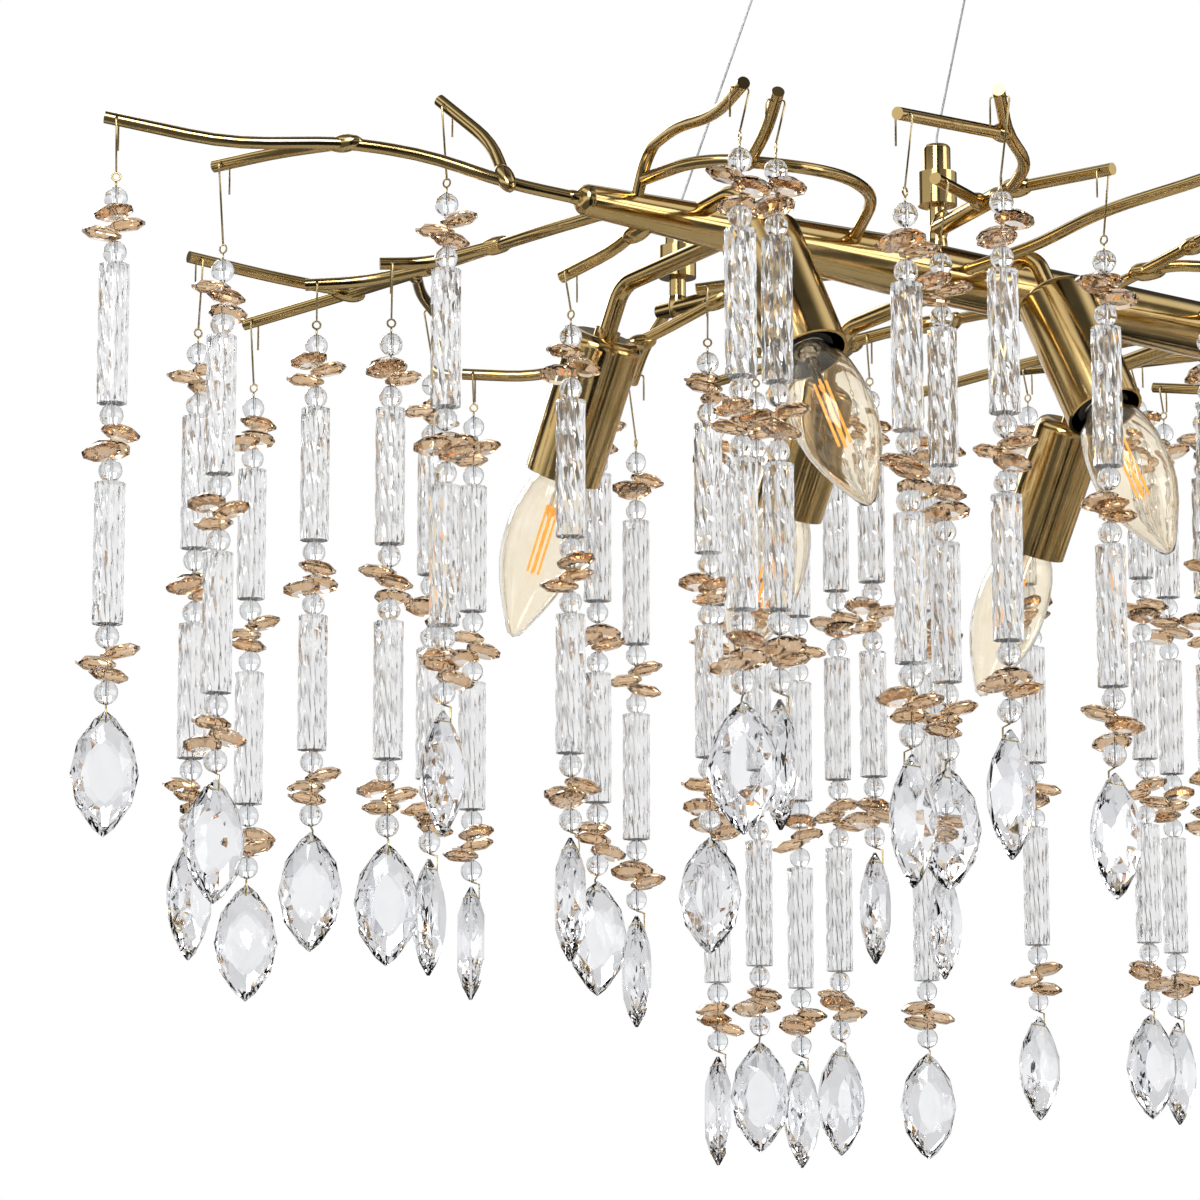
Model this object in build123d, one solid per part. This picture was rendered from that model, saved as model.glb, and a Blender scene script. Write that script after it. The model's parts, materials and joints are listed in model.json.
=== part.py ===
from build123d import *
import os
from math import asin, atan2, cos, degrees, radians, sin, tan

# Linear crystal branch chandelier, in millimetres.
# X runs along the beam, Y across it and Z up. The model is built around the beam's axis and then
# lowered, so that the origin is the centre of the canopy's rim on the ceiling.
# The right half is the left half turned half a turn about Z.

# Beam and its drop below the ceiling
BEAM_DROP = 400.0
BEAM_LENGTH = 860.0
BEAM_RADIUS = 15.0
BEAM_END_RADIUS = 7.5
BEAM_TAPER_LENGTH = 200.0
BEAM_WALL = 1.5
BEAM_END_ROUND = 5.0

# Branch rods
ROD_RADIUS = 3.0
STUB_RADIUS = 4.5
ROD_BEND_RADIUS = 180.0
BEND_ROOM_SHARE = 0.45
TIP_SETBACK = 6.0
TIP_HOLE_RADIUS = 0.9

# Crystal strands
WIRE_RADIUS = 0.5
HOOK_HALF_WIDTH = 4.5
HOOK_LEAD = 3.0
HOOK_FREE_LEG = 14.0
HOOK_BEND_RADIUS = 1.5
STACK_GAP = 0.2
BEAD_RADIUS = 5.7
DISC_RADIUS = 8.8
DISC_THICKNESS = 4.7
DISC_EDGE = 1.4
DISC_TABLE_RADIUS = 6.0
DISC_OFFSET = 6.4
DISCS_PER_CLUSTER = 3
DISC_TURN = 137.0
GLASS_ROD_RADIUS = 7.6
GLASS_ROD_LENGTH = 67.0
GLASS_ROD_SIDES = 6
GLASS_ROD_TWIST = 100.0
GLASS_ROD_STEPS = 4
PENDANT_HEIGHT = 59.0
PENDANT_HALF_WIDTH = 16.0
PENDANT_HALF_DEPTH = 7.0
PENDANT_RIM = 1.4
PENDANT_TABLE_SHARE = 0.5
PENDANT_SIDE_FACETS = 6
PENDANT_GAP = 2.5
PENDANT_HOLE_DROP = 6.0
PENDANT_HOLE_CLEARANCE = 0.3
LOOP_CLEARANCE = 0.6

# Lamps
LAMP_TILT = 28.0
LAMP_ARM_RADIUS = 4.5
LAMP_ARM_BEND_RADIUS = 16.0
COLLAR_RADIUS = 6.5
COLLAR_HEIGHT = 3.0
HOLDER_RADIUS = 19.3
HOLDER_LENGTH = 75.0
HOLDER_WALL = 1.5
HOLDER_ROUND = 6.0
SOCKET_RADIUS = 13.0
SOCKET_RECESS = 3.0
SOCKET_BORE_DEPTH = 27.0
BULB_BASE_RADIUS = 6.8
BULB_BASE_LENGTH = 24.0
BULB_BASE_CLEARANCE = 0.5
BULB_NECK_RADIUS = 10.0
BULB_GLASS_RADIUS = 20.0
BULB_GLASS_LENGTH = 90.0
BULB_GLASS_WALL = 1.0
BULB_WIDEST_SHARE = 0.42
STEM_RADIUS = 2.2
STEM_LENGTH = 24.0
FILAMENT_RADIUS = 0.8
FILAMENT_LENGTH = 36.0
FILAMENT_SPREAD = STEM_RADIUS + FILAMENT_RADIUS
FILAMENT_COUNT = 4
NEAR_HOLDER_REACH = 46.0
NEAR_HOLDER_DROP = 14.0
NEAR_ARM_RISE = 5.0
FAR_HOLDER_REACH = 89.0
FAR_HOLDER_DROP = 37.0
FAR_ARM_DROP = 6.0
ARM_LEAD = 24.0
NEAR_LAMPS_X = (-358.0, -161.0)
FAR_LAMPS_X = (-341.0, -190.0, -10.0)

# Cable grippers and cables
GRIPPER_RADIUS = 10.0
GRIPPER_HEIGHT = 17.0
PLUNGER_RADIUS = 7.0
PLUNGER_HEIGHT = 15.0
PLUNGER_ROUND = 2.5
PLUNGER_SEAT_DEPTH = 9.0
PLUNGER_INSERT = 5.0
PLUNGER_CLEARANCE = 0.3
CABLE_RADIUS = 0.6
CABLE_BORE_RADIUS = 1.3
CABLE_BEND_RADIUS = 8.0
CABLE_STRAIGHT = 4.0
POST_GRIPPER_X = -196.0
POST_GRIPPER_BASE = 36.0
ARM_GRIPPER_X = -233.0
ARM_GRIPPER_Y = 162.0
ARM_GRIPPER_BASE = 24.0
POST_ANCHOR_X = -119.0
ARM_ANCHOR_X = -156.0
ARM_ANCHOR_Y = 98.0

# Canopy and bracket
CANOPY_LENGTH = 400.0
CANOPY_WIDTH = 260.0
CANOPY_HEIGHT = 32.0
CANOPY_CORNER = 40.0
CANOPY_WALL = 1.5
CANOPY_EDGE_ROUND = 6.0
BRACKET_LENGTH = 220.0
BRACKET_WIDTH = 36.0
BRACKET_THICKNESS = 3.0
BRACKET_HOLE_SPACING = 100.0
BRACKET_HOLE_RADIUS = 3.0
SCREW_SPACING = 180.0
SCREW_RADIUS = 2.4
SCREW_CLEARANCE = 0.3
SCREW_HEAD_RADIUS = 6.0
SCREW_HEAD_HEIGHT = 5.0
ANCHOR_RADIUS = 5.0
ANCHOR_LENGTH = 12.0
ANCHOR_SHANK_RADIUS = 3.0
ANCHOR_SHANK_CLEARANCE = 0.2
ANCHOR_NUT_RADIUS = 6.0
ANCHOR_NUT_HEIGHT = 4.0

# Cord glands
GLAND_RADIUS = 7.0
GLAND_LENGTH = 12.0
GLAND_BORE_RADIUS = 3.2
GLAND_SEAT = 3.0
GLAND_HOLE_RADIUS = 4.0
GLAND_X = 212.0
GLAND_CANOPY_Y = 60.0

# Rods of the left half: node, name, radius, what carries the root, its strand, route.
# A strand is the number of its glass rods, the drop to its first bead and the turn of its pendant about Z.
# A route ends at the rod's cut tip.
END = "end_branches"
HANGER = "hanger_branches"
ARCH = "arch_branches"
CENTRE = "centre_branches"
RODS = (
    (END, "end_long", ROD_RADIUS, "beam", (2, 33, -32),
     [(-424, 0, 0), (-458, 20, 7), (-486, 45, 21), (-516, 68, 27), (-560, 105, 27), (-605, 142, 40)]),
    (END, "end_short", ROD_RADIUS, "end_long", (2, 43, 20), [(-458, 20, 7), (-456, 34, 30), (-466, 63, 56)]),
    (END, "end_middle", ROD_RADIUS, "end_long", (2, 47, -10),
     [(-516, 68, 27), (-534, 98, 26), (-548, 134, 24)]),
    (END, "corner_trunk", ROD_RADIUS, "beam", (2, 40, -40),
     [(-408, 0, -2), (-420, 55, -6), (-414, 130, -4), (-422, 200, -7), (-451, 250, -18)]),
    (END, "corner_first", ROD_RADIUS, "corner_trunk", (2, 35, -30),
     [(-418, 75, -5), (-440, 107, -12), (-460, 119, -13)]),
    (END, "corner_second", ROD_RADIUS, "corner_trunk", (2, 26, -45),
     [(-415, 138, -4), (-435, 167, -9), (-459, 184, -11)]),
    (END, "corner_third", ROD_RADIUS, "corner_trunk", (2, 43, 15),
     [(-421, 195, -7), (-458, 211, -2), (-506, 219, 3)]),
    (END, "corner_inner", ROD_RADIUS, "corner_trunk", (2, 34, 40),
     [(-415, 150, -5), (-396, 172, -8), (-370, 194, -10)]),
    (END, "corner_low", ROD_RADIUS, "beam", (2, 26, 58), [(-388, 0, -4), (-390, 22, -14), (-396, 56, -22)]),
    (HANGER, "hanger_arm", STUB_RADIUS, "beam", None, [(-228, 0, 0), (-233, 60, 6), (-233, 176, 8)]),
    (HANGER, "arm_end", ROD_RADIUS, "hanger_arm", (2, 43, 60),
     [(-233, 170, 8), (-231, 192, -8), (-221, 214, -22)]),
    (HANGER, "arm_long", ROD_RADIUS, "hanger_arm", (2, 23, 55),
     [(-233, 120, 7), (-258, 158, -14), (-288, 208, -30), (-318, 239, -27)]),
    (HANGER, "arm_fork", ROD_RADIUS, "arm_long", (2, 30, -20),
     [(-258, 158, -14), (-272, 164, -19), (-291, 166, -22)]),
    (HANGER, "arm_inner", ROD_RADIUS, "hanger_arm", (2, 34, -50),
     [(-233, 72, 6), (-250, 84, 4), (-272, 101, 0)]),
    (HANGER, "gripper_post", STUB_RADIUS, "beam", None,
     [(POST_GRIPPER_X, 0, 0), (POST_GRIPPER_X, 0, POST_GRIPPER_BASE)]),
    (HANGER, "arm_post", STUB_RADIUS, "hanger_arm", None,
     [(ARM_GRIPPER_X, ARM_GRIPPER_Y, 7), (ARM_GRIPPER_X, ARM_GRIPPER_Y, ARM_GRIPPER_BASE)]),
    (HANGER, "post_stub", STUB_RADIUS, "gripper_post", None, [(POST_GRIPPER_X, 0, 24), (-222, -70, 22)]),
    (HANGER, "post_long", ROD_RADIUS, "post_stub", (2, 45, 10),
     [(-221, -66, 22), (-240, -99, 17), (-259, -128, 20), (-285, -141, 26), (-316, -167, 36)]),
    (HANGER, "post_outer", ROD_RADIUS, "post_long", (2, 41, 15),
     [(-285, -141, 26), (-330, -153, 20), (-380, -167, 13)]),
    (HANGER, "post_inner", ROD_RADIUS, "post_stub", (2, 36, -25),
     [(-216, -54, 22), (-244, -65, 22), (-271, -77, 21)]),
    (HANGER, "post_side", ROD_RADIUS, "post_long", (2, 39, -5),
     [(-237, -93, 18), (-231, -120, 18), (-227, -153, 17)]),
    (ARCH, "arch_riser", ROD_RADIUS, "beam", (2, 28, -35),
     [(-398, -2, 0), (-399, -14, 27), (-415, -54, 26), (-426, -95, 20), (-443, -134, 23)]),
    (ARCH, "arch", ROD_RADIUS, "arch_riser", None,
     [(-398, -8, 13), (-396, -50, 15), (-362, -78, 11), (-325, -74, 13), (-290, -55, 13), (-258, 0, 3)]),
    (ARCH, "arch_twig", ROD_RADIUS, "arch", (2, 28, 60),
     [(-379, -64, 13), (-389, -88, 21), (-402, -111, 32)]),
    (CENTRE, "centre_trunk", ROD_RADIUS, "beam", (3, 22, 50),
     [(-105, 0, 0), (-108, 60, 4), (-112, 130, 6), (-115, 188, 4), (-137, 252, -5)]),
    (CENTRE, "centre_left", ROD_RADIUS, "centre_trunk", (3, 22, -35),
     [(-114, 168, 5), (-134, 184, 3), (-156, 196, 0)]),
    (CENTRE, "centre_right", ROD_RADIUS, "centre_trunk", (3, 22, 20),
     [(-115, 188, 4), (-101, 222, 0), (-69, 251, -5)]),
    (CENTRE, "centre_short", ROD_RADIUS, "centre_trunk", (3, 22, 0),
     [(-113, 150, 5), (-106, 172, 2), (-92, 196, 0)]),
    (CENTRE, "centre_near", ROD_RADIUS, "centre_trunk", (2, 30, 35),
     [(-110, 95, 5), (-119, 110, 4), (-131, 131, 0)]),
    (CENTRE, "centre_low", ROD_RADIUS, "centre_trunk", (2, 30, 25),
     [(-109, 76, 4), (-92, 108, 0), (-70, 135, -5)]),
    (CENTRE, "middle_long", ROD_RADIUS, "beam", (3, 22, -30),
     [(14, 0, 3), (15, 60, 9), (5, 140, 8), (-13, 216, 0)]),
    (CENTRE, "side_long", ROD_RADIUS, "beam", (3, 22, 10),
     [(-190, 0, 0), (-186, -60, 5), (-189, -110, 12), (-176, -150, 18), (-163, -191, 25)]),
    (CENTRE, "side_trunk", ROD_RADIUS, "beam", (3, 22, -20),
     [(-92, 0, 2), (-90, -45, 11), (-98, -100, 18), (-106, -156, 25)]),
    (CENTRE, "side_short", ROD_RADIUS, "side_trunk", (2, 34, 45),
     [(-90, -40, 10), (-83, -56, 12), (-68, -73, 10)]),
    (CENTRE, "side_outer", ROD_RADIUS, "side_trunk", (3, 22, 0),
     [(-95, -80, 15), (-79, -142, 20), (-68, -209, 25)]),
)

# Rods that also touch the beam, besides what carries their root
ALSO_MEETS_BEAM = ("arch", "post_stub")

HALF_TURN = Rot(0, 0, 180)


def beam_envelope():
    """The beam's outer skin as a full solid, used to cope whatever is welded to it."""
    half = BEAM_LENGTH / 2
    outline = Polyline(
        (-half, 0), (-half, BEAM_END_RADIUS), (BEAM_TAPER_LENGTH - half, BEAM_RADIUS),
        (half - BEAM_TAPER_LENGTH, BEAM_RADIUS), (half, BEAM_END_RADIUS), (half, 0), close=True)
    solid = revolve(make_face(outline), Axis.X)
    rims = solid.edges().filter_by(GeomType.CIRCLE).group_by(SortBy.RADIUS)[0]
    return fillet(rims, BEAM_END_ROUND)


def beam_tube(envelope):
    half = BEAM_LENGTH / 2 - BEAM_WALL - BEAM_END_ROUND
    bore = BEAM_RADIUS - BEAM_WALL
    end_bore = BEAM_END_RADIUS - BEAM_WALL
    outline = Polyline(
        (-half, 0), (-half, end_bore), (BEAM_TAPER_LENGTH - half, bore),
        (half - BEAM_TAPER_LENGTH, bore), (half, end_bore), (half, 0), close=True)
    tube = envelope - revolve(make_face(outline), Axis.X)
    return tube - Pos(GLAND_X, 0, BEAM_RADIUS) * Cylinder(GLAND_HOLE_RADIUS, BEAM_RADIUS)


def corner_radii(points, largest):
    """One bend radius per corner, no larger than its two runs leave room for."""
    radii = []
    for before, corner, after in zip(points, points[1:], points[2:]):
        run_in = Vector(corner) - Vector(before)
        run_out = Vector(after) - Vector(corner)
        turn = radians(run_in.get_angle(run_out))
        room = BEND_ROOM_SHARE * min(run_in.length, run_out.length) / tan(turn / 2)
        radii.append(min(largest, room))
    return radii


def bent_rod(points, radius, bend):
    """A round rod along straight runs joined by arcs."""
    if len(points) == 2:
        path = Line(*points)
    else:
        path = FilletPolyline(*points, radius=corner_radii(points, bend))
    return sweep(Plane(path @ 0, z_dir=path % 0) * Circle(radius), path=path)


def tip_frame(route):
    """Hook point near a rod's tip, and the turn of the hole across the rod there."""
    end = Vector(route[-1])
    lead = (end - Vector(route[-2])).normalized()
    hook = end - lead * TIP_SETBACK
    across = degrees(atan2(lead.X, -lead.Y))
    return hook, across


def branch_rods(envelope):
    """Each rod coped to what carries it, with its tip drilled for the strand's hook."""
    solids = {"beam": envelope}
    by_node = {}
    for node, name, radius, carrier, hung, route in RODS:
        rod = bent_rod(route, radius, ROD_BEND_RADIUS)
        rod -= solids[carrier]
        if name in ALSO_MEETS_BEAM:
            rod -= envelope
        if hung:
            hook, across = tip_frame(route)
            hole = Cylinder(TIP_HOLE_RADIUS, 6 * radius, rotation=(0, 90, 0))
            rod -= Pos(hook) * Rot(0, 0, across) * hole
        rod = rod.solids().sort_by(SortBy.VOLUME)[-1]
        solids[name] = rod
        by_node.setdefault(node, []).append(rod)
    return by_node


def glass_disc():
    """A bevelled disc, strung through a hole near its edge. The string is on the Z axis."""
    half = DISC_THICKNESS / 2
    outline = Polyline(
        (0, -half), (DISC_TABLE_RADIUS, -half), (DISC_RADIUS, -DISC_EDGE / 2), (DISC_RADIUS, DISC_EDGE / 2),
        (DISC_TABLE_RADIUS, half), (0, half), close=True)
    return Pos(DISC_OFFSET, 0, 0) * revolve(Plane.XZ * make_face(outline), Axis.Z)


def glass_rod():
    """A twisted fluted rod, its sides ruled between turned sections."""
    sections = []
    for step in range(GLASS_ROD_STEPS + 1):
        share = step / GLASS_ROD_STEPS
        height = (share - 0.5) * GLASS_ROD_LENGTH
        turn = Rot(0, 0, share * GLASS_ROD_TWIST)
        sections.append(Pos(0, 0, height) * turn * RegularPolygon(GLASS_ROD_RADIUS, GLASS_ROD_SIDES))
    return loft(sections, ruled=True)


def marquise_points():
    """The drop's outline around its middle: two arcs that meet in points, as straight facets."""
    tip = PENDANT_HEIGHT / 2
    arc_radius = (tip**2 + PENDANT_HALF_WIDTH**2) / (2 * PENDANT_HALF_WIDTH)
    half_arc = asin(tip / arc_radius)
    right = []
    for step in range(PENDANT_SIDE_FACETS):
        angle = half_arc * (2 * step / PENDANT_SIDE_FACETS - 1)
        right.append((arc_radius * cos(angle) - arc_radius + PENDANT_HALF_WIDTH, arc_radius * sin(angle)))
    return right + [(-x, -z) for x, z in right]


def pendant_half_depth(share):
    """Half the drop's depth where its outline has shrunk to that share."""
    slope = (PENDANT_HALF_DEPTH - PENDANT_RIM / 2) / (1 - PENDANT_TABLE_SHARE)
    return PENDANT_RIM / 2 + slope * (1 - share)


def pendant():
    """A marquise drop with a table and bevels on both faces, hung from a hole. Its top is at Z = 0."""
    outline = marquise_points()
    sections = []
    for side, share in ((-1, PENDANT_TABLE_SHARE), (-1, 1), (1, 1), (1, PENDANT_TABLE_SHARE)):
        depth = side * pendant_half_depth(share)
        ring = [(x * share, depth, z * share - PENDANT_HEIGHT / 2) for x, z in outline]
        sections.append(make_face(Polyline(*ring, close=True)))
    drop = loft(sections, ruled=True)
    hole = Cylinder(WIRE_RADIUS + PENDANT_HOLE_CLEARANCE, 4 * PENDANT_HALF_DEPTH, rotation=(90, 0, 0))
    return drop - Pos(0, 0, -PENDANT_HOLE_DROP) * hole


def strand(glass_rods, drop, first_turn, pendant_turn):
    """A string of beads, discs and twisted rods on its wire, and a pendant, hung from the origin.

    The strung pieces are fused with the wire that carries them. The pendant is a piece of its own.
    """
    bead = Sphere(BEAD_RADIUS)
    disc = glass_disc()
    rod = glass_rod()
    strung = []
    top = -drop
    turn = first_turn

    def string(piece, height, angle=0.0):
        nonlocal top
        strung.append(Pos(0, 0, top - height / 2) * Rot(0, 0, angle) * piece)
        top -= height + STACK_GAP

    for cluster in range(glass_rods + 1):
        if cluster:
            string(rod, GLASS_ROD_LENGTH, turn)
        string(bead, 2 * BEAD_RADIUS)
        for _ in range(DISCS_PER_CLUSTER):
            string(disc, DISC_THICKNESS, turn)
            turn += DISC_TURN
        string(bead, 2 * BEAD_RADIUS)
    pendant_top = top - PENDANT_GAP
    wire = strand_wire(drop, top, pendant_top - PENDANT_HOLE_DROP, pendant_turn)
    return [wire.fuse(*strung), Pos(0, 0, pendant_top) * Rot(0, 0, pendant_turn) * pendant()]


def strand_wire(drop, stem_end, hole_height, pendant_turn):
    """The gold wire: a hairpin through the rod's tip, a stem and a loop through the pendant."""
    share_at_hole = 1 - 2 * PENDANT_HOLE_DROP / PENDANT_HEIGHT
    reach = pendant_half_depth(share_at_hole) + WIRE_RADIUS + LOOP_CLEARANCE
    turn_height = stem_end - PENDANT_GAP / 2
    loop = []
    for offset, height in ((reach, turn_height), (reach, hole_height), (-reach, hole_height)):
        across = Vector(0, offset, 0).rotate(Axis.Z, pendant_turn)
        loop.append((across.X, across.Y, height))
    points = [
        (-HOOK_HALF_WIDTH, 0, -HOOK_FREE_LEG), (-HOOK_HALF_WIDTH, 0, 0), (HOOK_HALF_WIDTH, 0, 0),
        (0, 0, HOOK_LEAD - drop), (0, 0, stem_end)] + loop
    return bent_rod(points, WIRE_RADIUS, HOOK_BEND_RADIUS)


def strand_pairs():
    """Each left strand with its twin across the centre, in one node."""
    pairs = []
    for index, (_, _, _, _, hung, route) in enumerate(r for r in RODS if r[4]):
        glass_rods, drop, pendant_turn = hung
        hook, across = tip_frame(route)
        place = Pos(hook) * Rot(0, 0, across)
        pieces = strand(glass_rods, drop, DISC_TURN * index, pendant_turn - across)
        left = [place * piece for piece in pieces]
        pairs.append(left + [HALF_TURN * piece for piece in left])
    return pairs


def lamp_frame(x, side, reach, drop):
    """Place of a lamp holder's top: its -Z runs down along the tilted lamp, outwards on that side."""
    return Pos(x, side * reach, -drop) * Rot(side * LAMP_TILT, 0, 0)


def lamp_places():
    places = []
    for x in FAR_LAMPS_X:
        places.append((x, 1, FAR_HOLDER_REACH, FAR_HOLDER_DROP, -FAR_ARM_DROP))
    for x in NEAR_LAMPS_X:
        places.append((x, -1, NEAR_HOLDER_REACH, NEAR_HOLDER_DROP, NEAR_ARM_RISE))
    return places


def lamp_arm(x, side, reach, drop, rise, envelope):
    """A bent arm from the beam to the collar on top of a lamp holder."""
    tilt = radians(LAMP_TILT)
    collar = Vector(x, side * (reach - COLLAR_HEIGHT * sin(tilt)), -drop + COLLAR_HEIGHT * cos(tilt))
    lead = collar + Vector(0, -side * ARM_LEAD * sin(tilt), ARM_LEAD * cos(tilt))
    points = [(x, 0, rise), tuple(lead), tuple(collar)]
    return bent_rod(points, LAMP_ARM_RADIUS, LAMP_ARM_BEND_RADIUS) - envelope


def lamp_holder():
    cup = Pos(0, 0, -HOLDER_LENGTH / 2) * Cylinder(HOLDER_RADIUS, HOLDER_LENGTH)
    cup = fillet(cup.edges().group_by(Axis.Z)[-1], HOLDER_ROUND)
    depth = HOLDER_LENGTH - HOLDER_WALL
    inside = Pos(0, 0, -HOLDER_WALL - depth / 2) * Cylinder(HOLDER_RADIUS - HOLDER_WALL, depth)
    cup -= fillet(inside.edges().group_by(Axis.Z)[-1], HOLDER_ROUND - HOLDER_WALL)
    return cup + Pos(0, 0, COLLAR_HEIGHT / 2) * Cylinder(COLLAR_RADIUS, COLLAR_HEIGHT)


def lamp_socket():
    length = HOLDER_LENGTH - HOLDER_WALL - SOCKET_RECESS
    body = Pos(0, 0, -HOLDER_WALL - length / 2) * Cylinder(SOCKET_RADIUS, length)
    radius = BULB_BASE_RADIUS + BULB_BASE_CLEARANCE
    mouth = SOCKET_RECESS - HOLDER_LENGTH
    return body - Pos(0, 0, mouth + SOCKET_BORE_DEPTH / 2) * Cylinder(radius, SOCKET_BORE_DEPTH)


def bulb():
    """A candle bulb in lamp coordinates: glass envelope, screw base, stem and filaments."""
    neck = SOCKET_RECESS - HOLDER_LENGTH - BULB_BASE_CLEARANCE
    tip = neck - BULB_GLASS_LENGTH
    widest = neck - BULB_GLASS_LENGTH * BULB_WIDEST_SHARE

    def skin(inset):
        curve = Spline(
            (BULB_NECK_RADIUS - inset, neck - inset), (BULB_GLASS_RADIUS - inset, widest), (0, tip + inset),
            tangents=[(0.35, -1), (-1, -0.9)])
        closing = Polyline((0, tip + inset), (0, neck - inset), (BULB_NECK_RADIUS - inset, neck - inset))
        return revolve(Plane.XZ * make_face(curve + closing), Axis.Z)

    glass = skin(0) - skin(BULB_GLASS_WALL)
    base = Pos(0, 0, neck + BULB_BASE_LENGTH / 2) * Cylinder(BULB_BASE_RADIUS, BULB_BASE_LENGTH)
    inside = neck - BULB_GLASS_WALL
    stem = Pos(0, 0, inside - STEM_LENGTH / 2) * Cylinder(STEM_RADIUS, STEM_LENGTH)
    solids = [glass, base, stem]
    for step in range(FILAMENT_COUNT):
        turn = Rot(0, 0, 360 * step / FILAMENT_COUNT)
        centre = Pos(FILAMENT_SPREAD, 0, inside - STEM_LENGTH + FILAMENT_LENGTH / 6 - FILAMENT_LENGTH / 2)
        solids.append(turn * centre * Cylinder(FILAMENT_RADIUS, FILAMENT_LENGTH))
    return solids


def gripper_body():
    """The lower half of a cable gripper, with its base at Z = 0 and a seat for the plunger."""
    body = Pos(0, 0, GRIPPER_HEIGHT / 2) * Cylinder(GRIPPER_RADIUS, GRIPPER_HEIGHT)
    seat = Cylinder(PLUNGER_RADIUS + PLUNGER_CLEARANCE, PLUNGER_SEAT_DEPTH)
    return body - Pos(0, 0, GRIPPER_HEIGHT - PLUNGER_SEAT_DEPTH / 2) * seat


def gripper_plunger():
    """The sprung nozzle: pressed into the body, it lets the cable go."""
    length = PLUNGER_HEIGHT + PLUNGER_INSERT
    nozzle = Pos(0, 0, GRIPPER_HEIGHT + PLUNGER_HEIGHT - length / 2) * Cylinder(PLUNGER_RADIUS, length)
    nozzle = fillet(nozzle.edges().group_by(Axis.Z)[-1], PLUNGER_ROUND)
    return nozzle - Pos(0, 0, GRIPPER_HEIGHT) * Cylinder(CABLE_BORE_RADIUS, 4 * length)


def gripper_places():
    """Gripper base and cable anchor of the left half's two cables."""
    canopy_floor = BEAM_DROP - CANOPY_HEIGHT
    anchor_end = canopy_floor - ANCHOR_LENGTH
    return (
        (Vector(POST_GRIPPER_X, 0, POST_GRIPPER_BASE), Vector(POST_ANCHOR_X, 0, anchor_end)),
        (Vector(ARM_GRIPPER_X, ARM_GRIPPER_Y, ARM_GRIPPER_BASE),
         Vector(ARM_ANCHOR_X, ARM_ANCHOR_Y, anchor_end)),
    )


def cable(base, anchor):
    """A taut cable from the gripper's floor to the anchor's face."""
    floor = GRIPPER_HEIGHT - PLUNGER_SEAT_DEPTH
    exit_height = GRIPPER_HEIGHT + PLUNGER_HEIGHT + CABLE_STRAIGHT
    points = [
        tuple(base + Vector(0, 0, floor)), tuple(base + Vector(0, 0, exit_height)),
        tuple(anchor - Vector(0, 0, CABLE_STRAIGHT)), tuple(anchor)]
    return bent_rod(points, CABLE_RADIUS, CABLE_BEND_RADIUS)


def anchor_points():
    return [anchor + Vector(0, 0, ANCHOR_LENGTH) for _, anchor in gripper_places()]


def cable_anchor():
    """A fitting whose top face seats under the canopy's floor, at Z = 0, with its shank and nut."""
    body = Pos(0, 0, -ANCHOR_LENGTH / 2) * Cylinder(ANCHOR_RADIUS, ANCHOR_LENGTH)
    shank_length = CANOPY_WALL + ANCHOR_NUT_HEIGHT
    body += Pos(0, 0, shank_length / 2) * Cylinder(ANCHOR_SHANK_RADIUS, shank_length)
    nut = extrude(RegularPolygon(ANCHOR_NUT_RADIUS, 6), ANCHOR_NUT_HEIGHT)
    nut -= Cylinder(ANCHOR_SHANK_RADIUS + ANCHOR_SHANK_CLEARANCE, 4 * ANCHOR_NUT_HEIGHT)
    return body, Pos(0, 0, CANOPY_WALL) * nut


def tray(length, width, height, corner):
    """A rounded block with its top face at the ceiling."""
    return Pos(0, 0, BEAM_DROP - height) * extrude(RectangleRounded(length, width, corner), height)


def canopy_cover():
    outer = tray(CANOPY_LENGTH, CANOPY_WIDTH, CANOPY_HEIGHT, CANOPY_CORNER)
    outer = fillet(outer.edges().group_by(Axis.Z)[0], CANOPY_EDGE_ROUND)
    inner = tray(
        CANOPY_LENGTH - 2 * CANOPY_WALL, CANOPY_WIDTH - 2 * CANOPY_WALL,
        CANOPY_HEIGHT - CANOPY_WALL, CANOPY_CORNER - CANOPY_WALL)
    inner = fillet(inner.edges().group_by(Axis.Z)[0], CANOPY_EDGE_ROUND - CANOPY_WALL)
    cover = outer - inner
    floor = BEAM_DROP - CANOPY_HEIGHT
    for point in anchor_points():
        hole = Pos(point) * Cylinder(ANCHOR_SHANK_RADIUS + ANCHOR_SHANK_CLEARANCE, 4 * CANOPY_WALL)
        cover -= hole
        cover -= HALF_TURN * hole
    screw_hole = Cylinder(SCREW_RADIUS + SCREW_CLEARANCE, 4 * CANOPY_WALL)
    for side in (-1, 1):
        cover -= Pos(side * SCREW_SPACING / 2, 0, floor) * screw_hole
    return cover - Pos(0, GLAND_CANOPY_Y, floor) * Cylinder(GLAND_HOLE_RADIUS, 4 * CANOPY_WALL)


def ceiling_bracket():
    strap = Box(BRACKET_LENGTH, BRACKET_WIDTH, BRACKET_THICKNESS)
    ceiling_hole = Cylinder(BRACKET_HOLE_RADIUS, 4 * BRACKET_THICKNESS)
    screw_hole = Cylinder(SCREW_RADIUS + SCREW_CLEARANCE, 4 * BRACKET_THICKNESS)
    for side in (-1, 1):
        strap -= Pos(side * BRACKET_HOLE_SPACING / 2, 0, 0) * ceiling_hole
        strap -= Pos(side * SCREW_SPACING / 2, 0, 0) * screw_hole
    return Pos(0, 0, BEAM_DROP - BRACKET_THICKNESS / 2) * strap


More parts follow.
